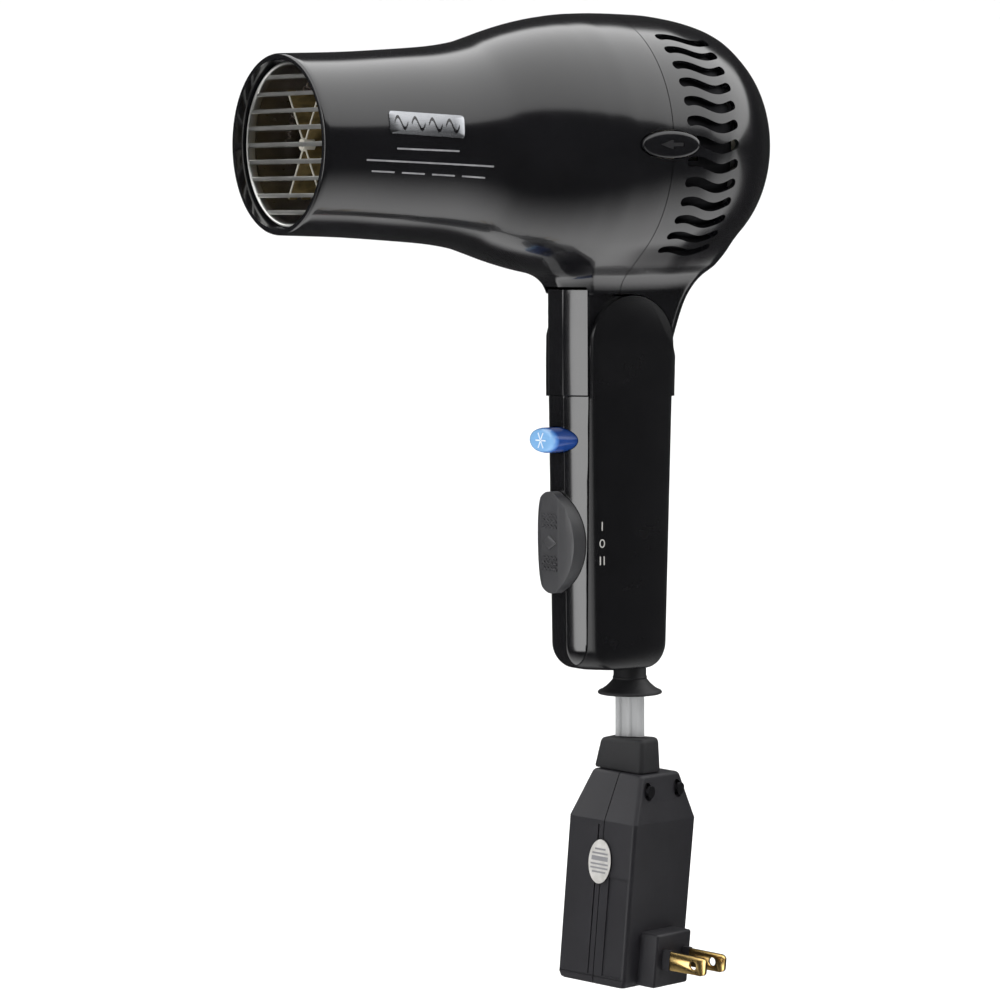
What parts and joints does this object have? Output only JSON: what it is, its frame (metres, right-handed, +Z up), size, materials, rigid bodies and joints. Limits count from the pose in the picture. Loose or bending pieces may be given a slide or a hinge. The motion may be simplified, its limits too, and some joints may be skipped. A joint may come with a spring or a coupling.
{
  "type": "travel hair dryer",
  "caption": "Compact gloss-black hair dryer: round barrel, wave-shaped air slots, handle that folds forward, blue cool-shot button, speed slider and a cord that winds into the body.",
  "frame": {"origin": "middle of the grip, inside the handle", "axes": "+X towards the rear of the barrel (air leaves towards -X), +Y to the side away from the rewind button, +Z up along the unfolded handle"},
  "size_m": [0.1915, 0.0934, 0.3419],
  "materials": {
    "gloss_black": "polished moulded plastic",
    "matte_black": "fine matte moulded plastic",
    "plug_black": "satin moulded plastic",
    "rubber": "satin rubber",
    "cord": "pale grey flexible jacket",
    "pale_metal": "pale satin",
    "steel": "brushed",
    "dark_metal": "dark",
    "silver": "satin foil",
    "brass": "polished",
    "mica": "mica sheet with a warm sheen",
    "heating_wire": "oxidised resistance wire",
    "ivory_plastic": "heat-resistant moulding",
    "grey_plastic": "glass-filled moulding",
    "blue_plastic": "glossy blue",
    "red_plastic": "glossy red",
    "circuit_green": "lacquered board",
    "paper": "coated paper"
  },
  "bodies": {
    "handle": {"handle_rear_shell": "matte_black", "handle_front_cover": "gloss_black", "handle_top_strip": "gloss_black", "hinge_pin_left": "steel", "hinge_pin_right": "steel", "cord_grommet": "rubber", "speed_switch": "ivory_plastic", "cool_switch": "ivory_plastic", "handle_screw_upper": "steel", "handle_screw_lower": "steel", "switch_wiring": "rubber"},
    "barrel": {"front_housing": "gloss_black", "rear_housing": "gloss_black", "outlet_grille": "pale_metal", "heat_shield": "steel", "mica_frame": "mica", "heater_coil": "heating_wire", "thermostat": "steel", "thermal_fuse": "steel", "ion_generator": "ivory_plastic", "motor": "steel", "motor_mount": "ivory_plastic", "lint_screen": "dark_metal", "badge": "silver", "reel_axle": "steel", "rewind_spring": "steel", "hinge_lug_left": "steel", "hinge_lug_right": "steel", "brake_pivot": "steel"},
    "fan": {"fan_impeller": "grey_plastic", "motor_shaft": "steel"},
    "reel": {"cord_reel": "ivory_plastic", "cord_winding": "cord"},
    "rewind_button": {"rewind_button": "gloss_black"},
    "brake_lever": {"brake_lever": "ivory_plastic"},
    "cool_button": {"cool_button": "blue_plastic"},
    "speed_slider": {"speed_slider": "gloss_black"},
    "plug": {"plug_front_shell": "plug_black", "plug_rear_shell": "plug_black", "plug_neck": "rubber", "plug_blade_near": "brass", "plug_blade_far": "brass", "plug_screw_near": "dark_metal", "plug_screw_far": "dark_metal", "plug_circuit_board": "circuit_green", "plug_label": "paper", "supply_cord": "cord"},
    "test_button": {"test_button": "ivory_plastic"},
    "reset_button": {"reset_button": "red_plastic"}
  },
  "joints": [
    {"name": "handle_fold", "type": "hinge", "parent": "handle", "child": "barrel", "pos_m": [0, 0, 0.065], "axis": [0, -1, 0], "range_deg": [0, 70]},
    {"name": "fan_spin", "type": "hinge", "parent": "barrel", "child": "fan", "pos_m": [0, 0, 0.134], "axis": [1, 0, 0], "continuous": true},
    {"name": "reel_spin", "type": "hinge", "parent": "barrel", "child": "reel", "pos_m": [0.033, 0, 0.134], "axis": [1, 0, 0], "continuous": true},
    {"name": "rewind_press", "type": "slide", "parent": "barrel", "child": "rewind_button", "axis": [0, 1, 0], "range_m": [0, 0.0015], "stiffness_N_per_m": 800, "springref_m": -0.003},
    {"name": "brake_release", "type": "hinge", "parent": "barrel", "child": "brake_lever", "pos_m": [0.014, -0.0388, 0.134], "axis": [0, 0, 1], "range_deg": [-5, 0.5]},
    {"name": "cool_press", "type": "slide", "parent": "handle", "child": "cool_button", "axis": [1, 0, 0], "range_m": [0, 0.003], "stiffness_N_per_m": 600, "springref_m": -0.003},
    {"name": "speed_select", "type": "slide", "parent": "handle", "child": "speed_slider", "axis": [0, 0, 1], "range_m": [-0.0063, 0.0063]},
    {"name": "cord_pull", "type": "slide", "parent": "handle", "child": "plug", "axis": [0, 0, -1], "range_m": [0, 1.2]},
    {"name": "test_press", "type": "slide", "parent": "plug", "child": "test_button", "axis": [0.3562, -0.9321, -0.0657], "range_m": [0, 0.0015], "stiffness_N_per_m": 600, "springref_m": -0.002},
    {"name": "reset_press", "type": "slide", "parent": "plug", "child": "reset_button", "axis": [0.3562, -0.9321, -0.0657], "range_m": [0, 0.0015], "stiffness_N_per_m": 600, "springref_m": -0.002}
  ],
  "couplings": [
    {"joint": "reel_spin", "follows": "cord_pull", "rad_per_m": -44.8},
    {"joint": "brake_release", "follows": "rewind_press", "rad_per_m": -55.56}
  ]
}
